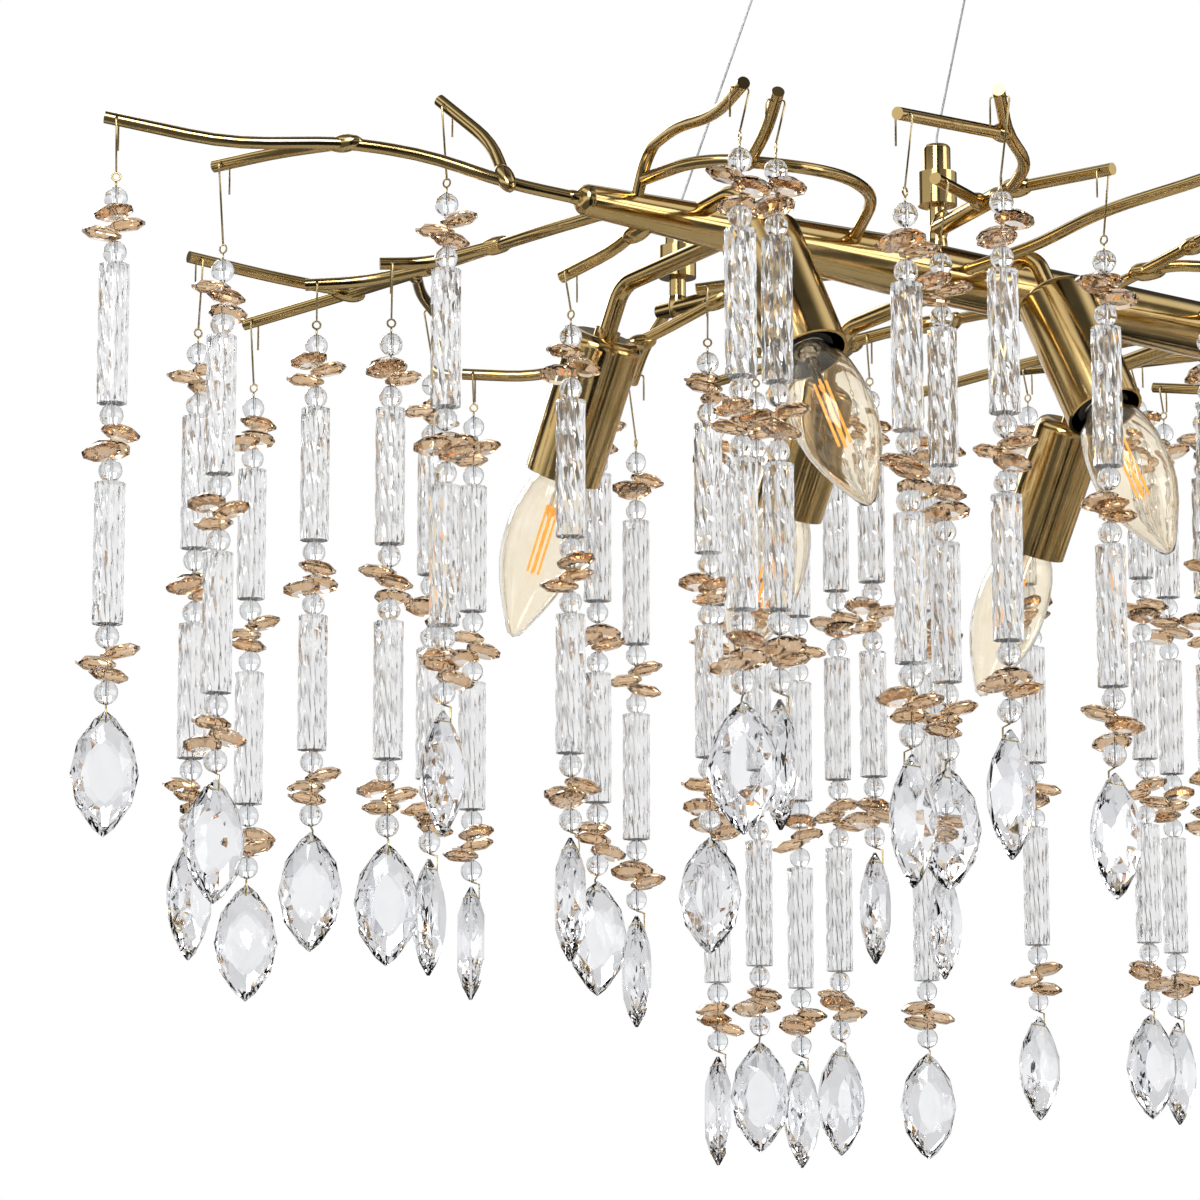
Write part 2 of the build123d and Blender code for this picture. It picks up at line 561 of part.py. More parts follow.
def canopy_screw():
    """A dome-headed screw up through the canopy's floor into the bracket."""
    floor = BEAM_DROP - CANOPY_HEIGHT
    head = Pos(0, 0, floor - SCREW_HEAD_HEIGHT / 2) * Cylinder(SCREW_HEAD_RADIUS, SCREW_HEAD_HEIGHT)
    head = fillet(head.edges().group_by(Axis.Z)[0], SCREW_HEAD_HEIGHT / 2)
    return head + Pos(0, 0, floor + CANOPY_HEIGHT / 2) * Cylinder(SCREW_RADIUS, CANOPY_HEIGHT)


def cord_gland():
    """A bushing with its seat at Z = 0 and its mouth upwards."""
    sleeve = Pos(0, 0, GLAND_LENGTH / 2) * Cylinder(GLAND_RADIUS, GLAND_LENGTH)
    return sleeve - Pos(0, 0, GLAND_LENGTH / 2) * Cylinder(GLAND_BORE_RADIUS, 2 * GLAND_LENGTH)


def cord_glands(envelope):
    """One bushing saddles the beam's top, the other hangs under the canopy's floor."""
    on_beam = Pos(GLAND_X, 0, BEAM_RADIUS - GLAND_SEAT) * cord_gland() - envelope
    under_canopy = Pos(0, GLAND_CANOPY_Y, BEAM_DROP - CANOPY_HEIGHT) * Rot(180, 0, 0) * cord_gland()
    return [on_beam, under_canopy]


def both_halves(pieces):
    return list(pieces) + [HALF_TURN * piece for piece in pieces]


def save(node, pieces):
    lowered = []
    for piece in pieces:
        lowered.extend((Pos(0, 0, -BEAM_DROP) * piece).solids())
    export_step(Compound(children=lowered), os.path.join("parts", node + ".step"))


def main():
    os.makedirs("parts", exist_ok=True)
    envelope = beam_envelope()
    save("main_beam", [beam_tube(envelope)])
    for node, rods in branch_rods(envelope).items():
        save(node, both_halves(rods))
    for number, pair in enumerate(strand_pairs(), 1):
        save(f"strand_pair_{number:02d}", pair)

    places = lamp_places()
    save("lamp_arms", both_halves([lamp_arm(*place, envelope) for place in places]))
    frames = [lamp_frame(*place[:4]) for place in places]
    frames += [HALF_TURN * frame for frame in frames]
    save("lamp_holders", [frame * lamp_holder() for frame in frames])
    save("lamp_sockets", [frame * lamp_socket() for frame in frames])
    for number, frame in enumerate(frames, 1):
        save(f"bulb_{number:02d}", [frame * piece for piece in bulb()])

    hangers = gripper_places()
    save("gripper_bodies", both_halves([Pos(base) * gripper_body() for base, _ in hangers]))
    plungers = both_halves([Pos(base) * gripper_plunger() for base, _ in hangers])
    for number, plunger in enumerate(plungers, 1):
        save(f"gripper_plunger_{number}", [plunger])
    save("suspension_cables", both_halves([cable(base, anchor) for base, anchor in hangers]))
    anchors = [Pos(point) * piece for point in anchor_points() for piece in cable_anchor()]
    save("cable_anchors", both_halves(anchors))
    save("canopy_cover", [canopy_cover()])
    save("ceiling_bracket", [ceiling_bracket()])
    save("canopy_screws", both_halves([Pos(SCREW_SPACING / 2, 0, 0) * canopy_screw()]))
    save("cord_glands", cord_glands(envelope))


main()
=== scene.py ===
# %% [markdown]
# # Crystal branch chandelier
#
# A linear ceiling light. A gold tube carries bent twigs and tilted candle lamps, and a strand of cut
# glass hangs from every twig's tip. The measured solids come first, as a frame. Each step below dresses
# a part of that frame: the metal keeps its measured shape, and the glass is cut anew with more facets.

# %% Load the frame
import json
import math
import random

import bmesh
import bpy
from mathutils import Matrix, Vector

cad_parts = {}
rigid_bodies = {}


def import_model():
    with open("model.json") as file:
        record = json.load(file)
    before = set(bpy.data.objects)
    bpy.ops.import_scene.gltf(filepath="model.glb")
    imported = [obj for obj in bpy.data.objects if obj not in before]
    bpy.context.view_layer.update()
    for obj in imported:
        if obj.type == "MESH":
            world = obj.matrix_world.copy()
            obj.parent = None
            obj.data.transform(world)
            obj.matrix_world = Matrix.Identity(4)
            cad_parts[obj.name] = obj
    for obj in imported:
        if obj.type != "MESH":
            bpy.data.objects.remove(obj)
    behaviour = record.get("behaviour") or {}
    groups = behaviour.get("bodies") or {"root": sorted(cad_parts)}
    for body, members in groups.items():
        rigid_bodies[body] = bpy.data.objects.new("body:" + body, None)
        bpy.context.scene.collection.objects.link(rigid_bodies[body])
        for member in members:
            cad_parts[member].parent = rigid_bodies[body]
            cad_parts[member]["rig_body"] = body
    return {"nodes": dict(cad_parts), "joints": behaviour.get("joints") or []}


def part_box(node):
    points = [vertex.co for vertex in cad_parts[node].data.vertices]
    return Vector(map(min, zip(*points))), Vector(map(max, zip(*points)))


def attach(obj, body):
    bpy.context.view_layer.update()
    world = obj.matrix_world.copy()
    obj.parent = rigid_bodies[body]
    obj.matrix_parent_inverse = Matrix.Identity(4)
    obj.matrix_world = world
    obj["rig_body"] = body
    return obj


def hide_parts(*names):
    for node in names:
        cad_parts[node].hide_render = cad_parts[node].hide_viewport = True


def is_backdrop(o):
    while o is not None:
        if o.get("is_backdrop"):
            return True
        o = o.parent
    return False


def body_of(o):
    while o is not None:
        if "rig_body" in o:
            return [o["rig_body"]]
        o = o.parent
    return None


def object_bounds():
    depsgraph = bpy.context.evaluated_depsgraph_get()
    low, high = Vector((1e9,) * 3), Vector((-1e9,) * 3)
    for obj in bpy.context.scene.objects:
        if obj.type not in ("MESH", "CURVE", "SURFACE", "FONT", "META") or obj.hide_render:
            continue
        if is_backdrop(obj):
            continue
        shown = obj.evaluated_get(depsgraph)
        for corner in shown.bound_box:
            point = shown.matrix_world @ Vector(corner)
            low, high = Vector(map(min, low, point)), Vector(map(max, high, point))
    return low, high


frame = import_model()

MM = 0.001
MERGE_GAP = 0.01 * MM
FRAME_BODY = "frame"
cad_low, cad_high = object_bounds()
print("frame:", len(frame["nodes"]), "nodes, box", [round(s, 3) for s in cad_high - cad_low])

# %% [markdown]
# ## Finishes
#
# A finish is a small node tree. All of them read Object coordinates, which are metres in the frame, so a
# noise scale of 100 gives marks about a centimetre across. These helpers add the nodes that every finish
# shares: a noise, a colour ramp, a range and a bump.

# %% Helpers for finishes


def new_finish(name):
    """A node material, its tree and its main shader."""
    material = bpy.data.materials.new(name)
    material.use_nodes = True
    tree = material.node_tree
    return material, tree, tree.nodes["Principled BSDF"]


def noise(tree, scale, detail=3.0, stretch=(1, 1, 1)):
    """A noise over the piece, stretched along the frame's axes."""
    coords = tree.nodes.new("ShaderNodeTexCoord")
    mapping = tree.nodes.new("ShaderNodeMapping")
    mapping.inputs["Scale"].default_value = stretch
    texture = tree.nodes.new("ShaderNodeTexNoise")
    texture.inputs["Scale"].default_value = scale
    texture.inputs["Detail"].default_value = detail
    tree.links.new(coords.outputs["Object"], mapping.inputs["Vector"])
    tree.links.new(mapping.outputs["Vector"], texture.inputs["Vector"])
    return texture.outputs["Fac"]


def tinted(tree, value, dark, light, socket):
    """Colours a surface between two tints."""
    ramp = tree.nodes.new("ShaderNodeValToRGB")
    ramp.color_ramp.elements[0].position = 0.35
    ramp.color_ramp.elements[0].color = (*dark, 1)
    ramp.color_ramp.elements[1].position = 0.65
    ramp.color_ramp.elements[1].color = (*light, 1)
    tree.links.new(value, ramp.inputs["Fac"])
    tree.links.new(ramp.outputs["Color"], socket)


def ranged(tree, value, low, high, socket):
    """Spreads a noise over a range of a shader's value."""
    spread = tree.nodes.new("ShaderNodeMapRange")
    spread.inputs["From Min"].default_value = 0.3
    spread.inputs["From Max"].default_value = 0.7
    spread.inputs["To Min"].default_value = low
    spread.inputs["To Max"].default_value = high
    tree.links.new(value, spread.inputs["Value"])
    tree.links.new(spread.outputs["Result"], socket)


def bumped(tree, shader, height, strength, distance):
    """Tilts the surface by a height map."""
    bump = tree.nodes.new("ShaderNodeBump")
    bump.inputs["Strength"].default_value = strength
    bump.inputs["Distance"].default_value = distance
    tree.links.new(height, bump.inputs["Height"])
    tree.links.new(bump.outputs["Normal"], shader.inputs["Normal"])


# %% [markdown]
# The metal is brass with an antique gold plating: satin on the tubes, a little uneven in tone, and with
# fine drawing marks. A metal shows mostly what it reflects, so its base colour only sets the hue, and the
# roughness decides how sharp the studio's bright and dark fields look in it.

# %% Metal finishes


def plated_gold(name, dark, light, polish):
    """Gold plating, uneven in tone, with a range of polish."""
    material, tree, shader = new_finish(name)
    shader.inputs["Metallic"].default_value = 1.0
    tinted(tree, noise(tree, 45.0), dark, light, shader.inputs["Base Color"])
    ranged(tree, noise(tree, 90.0, 1.0), *polish, shader.inputs["Roughness"])
    bumped(tree, shader, noise(tree, 700.0, 1.0), 0.02, 0.0002)
    return material


satin_gold = plated_gold("satin_gold", (0.60, 0.42, 0.17), (0.66, 0.475, 0.205), (0.12, 0.16))
wire_gold = plated_gold("wire_gold", (0.70, 0.55, 0.27), (0.84, 0.70, 0.40), (0.16, 0.26))


def plain_metal(name, dark, light, polish):
    """Bare metal with fine marks along its height."""
    material, tree, shader = new_finish(name)
    shader.inputs["Metallic"].default_value = 1.0
    tinted(tree, noise(tree, 90.0), dark, light, shader.inputs["Base Color"])
    ranged(tree, noise(tree, 500.0), *polish, shader.inputs["Roughness"])
    bumped(tree, shader, noise(tree, 2200.0, 2.0, (1, 1, 0.1)), 0.15, 0.0002)
    return material


zinc_steel = plain_metal("zinc_steel", (0.50, 0.51, 0.52), (0.68, 0.69, 0.70), (0.30, 0.45))
cable_steel = plain_metal("cable_steel", (0.30, 0.30, 0.31), (0.44, 0.44, 0.45), (0.30, 0.42))
lamp_nickel = plain_metal("lamp_nickel", (0.66, 0.63, 0.58), (0.80, 0.77, 0.72), (0.18, 0.30))
print("metals:", satin_gold.name, wire_gold.name, zinc_steel.name, cable_steel.name, lamp_nickel.name)

# %% [markdown]
# Cut glass is almost colourless. What makes it sparkle is the sharp change between facets, so its finish
# is a clean transmission with only a trace of tint and polish marks. The discs are champagne coloured
# glass, and the light's path through them is painted in as two tints: a deep orange on the slanted facets,
# where light runs a long way through, and a paler tint painted on the two flat tables. The lamps'
# envelopes have a thin amber tint.

# %% Glass finishes


def cut_glass(name, dark, light, index, clearness=1.0):
    """Clear glass of a tint and a refractive index. Less clearness leaves a milky trace."""
    material, tree, shader = new_finish(name)
    shader.inputs["Transmission Weight"].default_value = clearness
    shader.inputs["IOR"].default_value = index
    tinted(tree, noise(tree, 120.0), dark, light, shader.inputs["Base Color"])
    ranged(tree, noise(tree, 400.0), 0.0, 0.03, shader.inputs["Roughness"])
    return material


clear_crystal = cut_glass("clear_crystal", (0.88, 0.90, 0.92), (0.95, 0.96, 0.97), 1.5)
drawn_crystal = cut_glass("drawn_crystal", (0.97, 0.97, 0.98), (1.0, 1.0, 1.0), 1.48, 0.9)
pendant_crystal = cut_glass("pendant_crystal", (0.89, 0.90, 0.92), (0.95, 0.95, 0.97), 1.54)
# The champagne glass is the discs' own colour, and its deeper orange on the slanted facets also stands in
# for the light's long path along them. The table glass is the same glass painted paler, for the light's
# short path through the flat tables.
champagne_crystal = cut_glass("champagne_crystal", (0.74, 0.46, 0.24), (0.88, 0.66, 0.45), 1.56)
painted_pale_table_glass = cut_glass("painted_pale_table_glass", (0.90, 0.84, 0.78), (0.97, 0.94, 0.91), 1.56)
amber_glass = cut_glass("amber_glass", (0.98, 0.92, 0.80), (0.995, 0.95, 0.86), 1.45)


def glowing_thread():
    """The filaments' yellow coating, lit from inside."""
    material, tree, shader = new_finish("filament_coating")
    tinted(tree, noise(tree, 300.0), (0.95, 0.38, 0.05), (1.0, 0.50, 0.10), shader.inputs["Base Color"])
    tinted(tree, noise(tree, 300.0), (1.0, 0.36, 0.04), (1.0, 0.48, 0.09), shader.inputs["Emission Color"])
    shader.inputs["Emission Strength"].default_value = 0.8
    shader.inputs["Roughness"].default_value = 0.5
    return material


def moulded_plastic():
    """The black plastic of the sockets."""
    material, tree, shader = new_finish("dark_moulded_plastic")
    tinted(tree, noise(tree, 200.0), (0.012, 0.011, 0.010), (0.030, 0.028, 0.026),
           shader.inputs["Base Color"])
    ranged(tree, noise(tree, 900.0), 0.45, 0.6, shader.inputs["Roughness"])
    bumped(tree, shader, noise(tree, 3000.0), 0.2, 0.0001)
    return material


def drawn_nylon():
    """The clear line that the glass is strung on. It all but vanishes inside the beads."""
    material, tree, shader = new_finish("nylon_line")
    shader.inputs["Transmission Weight"].default_value = 0.8
    tinted(tree, noise(tree, 200.0), (0.88, 0.88, 0.87), (0.96, 0.96, 0.95), shader.inputs["Base Color"])
    ranged(tree, noise(tree, 900.0), 0.1, 0.25, shader.inputs["Roughness"])
    return material


filament_coating = glowing_thread()
nylon_line = drawn_nylon()
dark_plastic = moulded_plastic()
print("glass:", clear_crystal.name, drawn_crystal.name, pendant_crystal.name, champagne_crystal.name,
      painted_pale_table_glass.name, amber_glass.name)

# %% [markdown]
# ## From a bmesh to a piece
#
# Every piece is shaped in a bmesh and becomes an object at the origin, with its place in its mesh. Faces
# are smooth, and an edge whose faces meet at more than a given angle is marked sharp, so that a turned rod
# looks round while a cut facet stays crisp.

# %% Helpers for pieces


def shade(bm, sharp_angle):
    """Smooth shading that breaks at edges sharper than the angle, in degrees."""
    limit = math.radians(sharp_angle)
    for face in bm.faces:
        face.smooth = True
    for edge in bm.edges:
        edge.smooth = edge.is_manifold and edge.calc_face_angle(0.0) < limit


def add_piece(name, bm, finishes, body):
    """Makes an object of a bmesh, which moves with a body."""
    mesh = bpy.data.meshes.new(name)
    bm.to_mesh(mesh)
    bm.free()
    for finish in finishes:
        mesh.materials.append(finish)
    piece = bpy.data.objects.new(name, mesh)
    bpy.context.scene.collection.objects.link(piece)
    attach(piece, body)
    return piece


def dressed_copy(node, finish, sharp_angle=40):
    """A merged, smooth-shaded copy of a measured node, in a better finish."""
    bm = bmesh.new()
    bm.from_mesh(frame["nodes"][node].data)
    bmesh.ops.remove_doubles(bm, verts=bm.verts, dist=MERGE_GAP)
    shade(bm, sharp_angle)
    (body,) = body_of(frame["nodes"][node])
    piece = add_piece(node + "_finish", bm, [finish], body)
    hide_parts(node)
    return piece


# %% [markdown]
# ## The metalwork
#
# The beam, twigs, lamp arms, holders, grippers and the ceiling parts already have their true shape in the
# frame. Their meshes are loose triangles, so a copy of each is merged and shaded smooth, and takes the
# gold, steel or plastic finish of the real piece.

# %% Dress the metalwork
GOLD_NODES = [
    "main_beam", "end_branches", "hanger_branches", "arch_branches", "centre_branches", "lamp_arms",
    "lamp_holders", "gripper_bodies", "gripper_plunger_1", "gripper_plunger_2", "gripper_plunger_3",
    "gripper_plunger_4", "cable_anchors", "canopy_cover", "canopy_screws", "cord_glands"]
metalwork = {node: dressed_copy(node, satin_gold) for node in GOLD_NODES}
metalwork["ceiling_bracket"] = dressed_copy("ceiling_bracket", zinc_steel)
metalwork["lamp_sockets"] = dressed_copy("lamp_sockets", dark_plastic)
print("metalwork:", len(metalwork), "pieces")

# %% [markdown]
# ## Suspension cables
#
# Four thin steel cables rise from the grippers to the canopy. Each is a curve with a round bevel that
# follows the measured cable: straight up out of the gripper, over to the anchor, and straight up into it.
# A smooth spline cuts its corners, and a point on each side of a corner keeps the taut run straight.

# %% Hang the cables
CABLE_DIAMETER = 1.2 * MM
CABLE_STRAIGHT = 4 * MM
CABLE_END = 0.1 * MM


def separate_solids(node):
    """The corner points of each separate solid of a node, in the order of the node's mesh."""
    bm = bmesh.new()
    bm.from_mesh(frame["nodes"][node].data)
    bmesh.ops.remove_doubles(bm, verts=bm.verts, dist=MERGE_GAP)
    waiting = set(bm.verts)
    solids = []
    for first in bm.verts:
        if first not in waiting:
            continue
        waiting.remove(first)
        edge_of_search = [first]
        solid = []
        while edge_of_search:
            vert = edge_of_search.pop()
            solid.append(vert.co.copy())
            for edge in vert.link_edges:
                other = edge.other_vert(vert)
                if other in waiting:
                    waiting.remove(other)
                    edge_of_search.append(other)
        solids.append(solid)
    bm.free()
    return solids


def middle(points):
    """Middle of the box round some points."""
    low = Vector([min(p[axis] for p in points) for axis in range(3)])
    high = Vector([max(p[axis] for p in points) for axis in range(3)])
    return (low + high) / 2


plunger_tops = []
for number in range(1, 5):
    low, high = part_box(f"gripper_plunger_{number}")
    plunger_tops.append(Vector(((low.x + high.x) / 2, (low.y + high.y) / 2, high.z)))

for number, solid in enumerate(separate_solids("suspension_cables"), 1):
    highest = max(p.z for p in solid)
    anchor = middle([p for p in solid if p.z > highest - CABLE_END])
    lowest = min(p.z for p in solid)
    foot = middle([p for p in solid if p.z < lowest + CABLE_END])
    leave = min(plunger_tops, key=lambda top: (top.xy - foot.xy).length)
    foot_corner = leave + Vector((0, 0, CABLE_STRAIGHT))
    top_corner = anchor - Vector((0, 0, CABLE_STRAIGHT))
    run = (top_corner - foot_corner).normalized() * CABLE_STRAIGHT
    route = [leave, foot_corner, foot_corner + run, top_corner - run, top_corner, anchor]
    curve = bpy.data.curves.new(f"cable_{number}", "CURVE")
    curve.dimensions = "3D"
    curve.bevel_depth = CABLE_DIAMETER / 2
    curve.bevel_resolution = 2
    spline = curve.splines.new("NURBS")
    spline.points.add(len(route) - 1)
    for point, place in zip(spline.points, route):
        point.co = (*place, 1)
    spline.order_u = 3
    spline.use_endpoint_u = True
    curve.materials.append(cable_steel)
    cable = bpy.data.objects.new(f"cable_{number}", curve)
    bpy.context.scene.collection.objects.link(cable)
    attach(cable, FRAME_BODY)
    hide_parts("suspension_cables")

# %% [markdown]
# ## Shapes of cut glass
#
# A strand repeats a few shapes many times, so each is built once, with few faces, and then copied down
# the string. Two ways of building cover them all. Turned shapes, such as beads, are a profile spun round
# the string. Cut shapes, such as discs and drops, are a loop of edges that is extruded ring by ring; if
# every other ring is turned by half a step and the quads are split, the walls break into the small
# triangles that a cutter leaves.

# %% Helpers for cut and turned shapes
SPIN_SEAM = 0.0001
FIRST_SIDE = Vector((0.31, 0.95, 0.05))


def loop_edges(verts):
    """The edges that join vertices of a loop to each other."""
    inside = set(verts)
    return list(dict.fromkeys(e for v in verts for e in v.link_edges if e.other_vert(v) in inside))


def ringed_solid(bm, rings, sides):
    """A closed solid through rings of (half width, half depth, height, turn in degrees)."""
    loop = bmesh.ops.create_circle(bm, cap_ends=False, segments=sides, radius=1.0)["verts"]
    every = list(loop)
    first = list(loop)
    last_shape = Matrix.Identity(4)
    for number, (wide, deep, height, turn) in enumerate(rings):
        if number:
            grown = bmesh.ops.extrude_edge_only(bm, edges=loop_edges(loop))["geom"]
            loop = [g for g in grown if isinstance(g, bmesh.types.BMVert)]
            every += loop
        shape = (Matrix.Translation((0, 0, height)) @ Matrix.Diagonal((wide, deep, 1, 1))
                 @ Matrix.Rotation(math.radians(turn), 4, "Z"))
        bmesh.ops.transform(bm, matrix=shape @ last_shape.inverted(), verts=loop)
        last_shape = shape
    bmesh.ops.contextual_create(bm, geom=loop_edges(first))
    bmesh.ops.contextual_create(bm, geom=loop_edges(loop))
    return every


def spun_solid(bm, profile, steps, closed):
    """A profile of (radius, height) points spun round Z."""
    verts = [bm.verts.new((radius, 0, height)) for radius, height in profile]
    edges = [bm.edges.new(pair) for pair in zip(verts, verts[1:])]
    if closed:
        edges.append(bm.edges.new((verts[-1], verts[0])))
    bmesh.ops.spin(bm, geom=verts + edges, cent=(0, 0, 0), axis=(0, 0, 1), angle=2 * math.pi,
                   steps=steps, use_merge=True)
    bmesh.ops.remove_doubles(bm, verts=bm.verts, dist=SPIN_SEAM)


def tube_along(bm, points, radius, sides):
    """A round wire through the points, as a loop of edges extruded from point to point."""
    loop = bmesh.ops.create_circle(bm, cap_ends=False, segments=sides, radius=radius)["verts"]
    first = list(loop)
    place = Matrix.Identity(4)
    side = FIRST_SIDE
    for number, point in enumerate(points):
        before = points[max(number - 1, 0)]
        after = points[min(number + 1, len(points) - 1)]
        along = (Vector(after) - Vector(before)).normalized()
        side = (side - along * side.dot(along)).normalized()
        turn = Matrix((side, along.cross(side), along)).transposed().to_4x4()
        target = Matrix.Translation(point) @ turn
        if number:
            grown = bmesh.ops.extrude_edge_only(bm, edges=loop_edges(loop))["geom"]
            loop = [g for g in grown if isinstance(g, bmesh.types.BMVert)]
        bmesh.ops.transform(bm, matrix=target @ place.inverted(), verts=loop)
        place = target
    bmesh.ops.contextual_create(bm, geom=loop_edges(first))
    bmesh.ops.contextual_create(bm, geom=loop_edges(loop))


def kept_shape(name, bm, finish_number, sharp_angle, hollow=False):
    """Stores a shape as a mesh, in millimetres, to take copies of. A hollow's skin faces inwards."""
    bmesh.ops.recalc_face_normals(bm, faces=bm.faces)
    shade(bm, sharp_angle)
    if hollow:
        bmesh.ops.reverse_faces(bm, faces=bm.faces)
    for face in bm.faces:
        face.material_index = finish_number
    mesh = bpy.data.meshes.new(name)
    bm.to_mesh(mesh)
    bm.free()
    print(f"{name}: {len(mesh.polygons)} faces")
    return mesh


# %% [markdown]
# The bead is a drilled ball, and its hole shows as a pale line down the middle. The disc is a flat cut
# stone, strung near its edge. The rod is drawn with flutes and then twisted, which a ring that turns a
# little at every step copies exactly. The drop is almond shaped, with pointed ends.

# %% Cut the glass shapes
CLEAR, CHAMPAGNE, WIRE, DROP, LINE, FLUTED, TABLE = range(7)
CUT, DRAWN, TURNED = 1, 22, 50
STRAND_FINISHES = [
    clear_crystal, champagne_crystal, wire_gold, pendant_crystal, nylon_line, drawn_crystal, painted_pale_table_glass]
BEAD_RADIUS = 5.7
BEAD_HOLE = 1.0
BEAD_ARC_STEPS = 8
BEAD_STEPS = 12
DISC_RADIUS = 9.5
DISC_THICKNESS = 6.2
DISC_TABLE = 5.6
DISC_EDGE = 1.4
DISC_SIDES = 10
DISC_OFFSET = 6.4
DISC_TILT = 15.0
DISC_ROLL = 12.0
ROD_RADIUS = 7.3
ROD_GROOVE = 6.58
ROD_LENGTH = 67.0
ROD_FLUTES = 12
ROD_TWIST = 125.0
ROD_STEPS = 8
DROP_HEIGHT = 59.0
DROP_HALF_WIDTH = 16.0
DROP_HALF_DEPTH = 7.0
DROP_SIDES = 12
DROP_GIRDLE = 1.0
RING_GAP = 0.01
ON_AXIS = 0.001
DROP_RINGS = [
    (0.50, 1.0, 0), (0.80, 0.62, 1), (1.0, 0.1, 0), (1.0, -0.1, 0), (0.80, -0.62, 1), (0.50, -1.0, 0)]
WIRE_RADIUS = 0.5
WIRE_SIDES = 6
LINE_RADIUS = 0.3
LINE_SIDES = 4
LINK_RADIUS = 2.0
LINK_STEPS = 12


def bead_shape():
    """A ball with a hole down its middle."""
    bm = bmesh.new()
    start = math.asin(BEAD_HOLE / BEAD_RADIUS)
    profile = []
    for step in range(BEAD_ARC_STEPS + 1):
        angle = start + (math.pi - 2 * start) * step / BEAD_ARC_STEPS
        profile.append((BEAD_RADIUS * math.sin(angle), BEAD_RADIUS * math.cos(angle)))
    spun_solid(bm, profile, BEAD_STEPS, closed=True)
    return kept_shape("bead", bm, CLEAR, TURNED)


def disc_shape():
    """A flat stone with a table on each side, moved off the string. The tables take a paler tint, painted
    in for the light's short path through them.
    """
    bm = bmesh.new()
    half_step = 180 / DISC_SIDES
    half = DISC_THICKNESS / 2
    verts = ringed_solid(bm, [
        (DISC_TABLE, DISC_TABLE, half, 0),
        (DISC_RADIUS, DISC_RADIUS, DISC_EDGE / 2, half_step),
        (DISC_RADIUS, DISC_RADIUS, -DISC_EDGE / 2, half_step),
        (DISC_TABLE, DISC_TABLE, -half, 0)], DISC_SIDES)
    slanted = [f for f in bm.faces if len(f.verts) == 4 and abs(f.calc_center_median().z) > DISC_EDGE / 2]
    bmesh.ops.triangulate(bm, faces=slanted)
    bmesh.ops.translate(bm, verts=verts, vec=(DISC_OFFSET, 0, 0))
    mesh = kept_shape("disc", bm, CHAMPAGNE, CUT)
    # The flat tables take the painted paler tint, which stands in for the short light path through them.
    for face in mesh.polygons:
        if len(face.vertices) == DISC_SIDES:
            face.material_index = TABLE
    return mesh


def rod_shape():
    """A fluted rod, twisted from ring to ring."""
    bm = bmesh.new()
    rings = []
    for step in range(ROD_STEPS + 1):
        share = step / ROD_STEPS
        rings.append((ROD_RADIUS, ROD_RADIUS, (0.5 - share) * ROD_LENGTH, share * ROD_TWIST))
    verts = ringed_solid(bm, rings, 2 * ROD_FLUTES)
    grooves = [v for number, v in enumerate(verts) if number % 2]
    bmesh.ops.scale(bm, verts=grooves, vec=(ROD_GROOVE / ROD_RADIUS, ROD_GROOVE / ROD_RADIUS, 1))
    return kept_shape("rod", bm, FLUTED, DRAWN)


def drop_shape():
    """Rings through the drop's depth, pressed from round to almond shaped. Its upper point is at Z = 0."""
    bm = bmesh.new()
    half_step = 180 / DROP_SIDES
    half_height = DROP_HEIGHT / 2
    rings = []
    for share, depth, turned in DROP_RINGS:
        rings.append((share, share, depth * DROP_HALF_DEPTH, half_step * turned))
    verts = ringed_solid(bm, rings, DROP_SIDES)
    slimness = DROP_HALF_WIDTH / half_height
    arc = (1 + slimness ** 2) / (2 * slimness)
    for vert in verts:
        share = max(s for s, depth, _ in DROP_RINGS if abs(depth * DROP_HALF_DEPTH - vert.co.z) < RING_GAP)
        along = vert.co.y / share
        width = math.sqrt(max(0.0, arc ** 2 - along ** 2)) - (arc - slimness)
        vert.co.x = math.copysign(width * share, vert.co.x) * half_height * (abs(vert.co.x) > ON_AXIS)
        vert.co.y *= half_height
    slanted = [f for f in bm.faces if len(f.verts) == 4 and abs(f.calc_center_median().z) > DROP_GIRDLE]
    bmesh.ops.triangulate(bm, faces=slanted)
    bmesh.ops.rotate(bm, verts=verts, cent=(0, 0, 0), matrix=Matrix.Rotation(math.pi / 2, 3, "X"))
    bmesh.ops.translate(bm, verts=verts, vec=(0, 0, -half_height))
    return kept_shape("drop", bm, DROP, CUT)


def link_shape():
    """A small wire ring that joins the hook and the string. It stands upright."""
    bm = bmesh.new()
    turned = [(LINK_RADIUS + WIRE_RADIUS * math.cos(a), WIRE_RADIUS * math.sin(a))
              for a in (math.tau * step / WIRE_SIDES for step in range(WIRE_SIDES))]
    spun_solid(bm, turned, LINK_STEPS, closed=True)
    bmesh.ops.rotate(bm, verts=bm.verts, cent=(0, 0, 0), matrix=Matrix.Rotation(math.pi / 2, 3, "X"))
    return kept_shape("link", bm, WIRE, TURNED)


bead, disc, rod, drop, link = bead_shape(), disc_shape(), rod_shape(), drop_shape(), link_shape()

# %% [markdown]
# ## Stringing the strands
#
# Each strand hangs from a wire hook through a twig's tip: a bead, three discs fanned round the string and
# a second bead, then a twisted rod, and so on down to the drop. The frame tells where a hook sits and how
# it is turned: the hook's crown is the highest part of the node, and its free leg ends a little lower,
# on one side. The node's height tells whether the strand has two twisted rods or three, and what is left
# of that height is the drop from the hook to the first bead. The widest part of the node's foot tells
# which way the drop has turned.

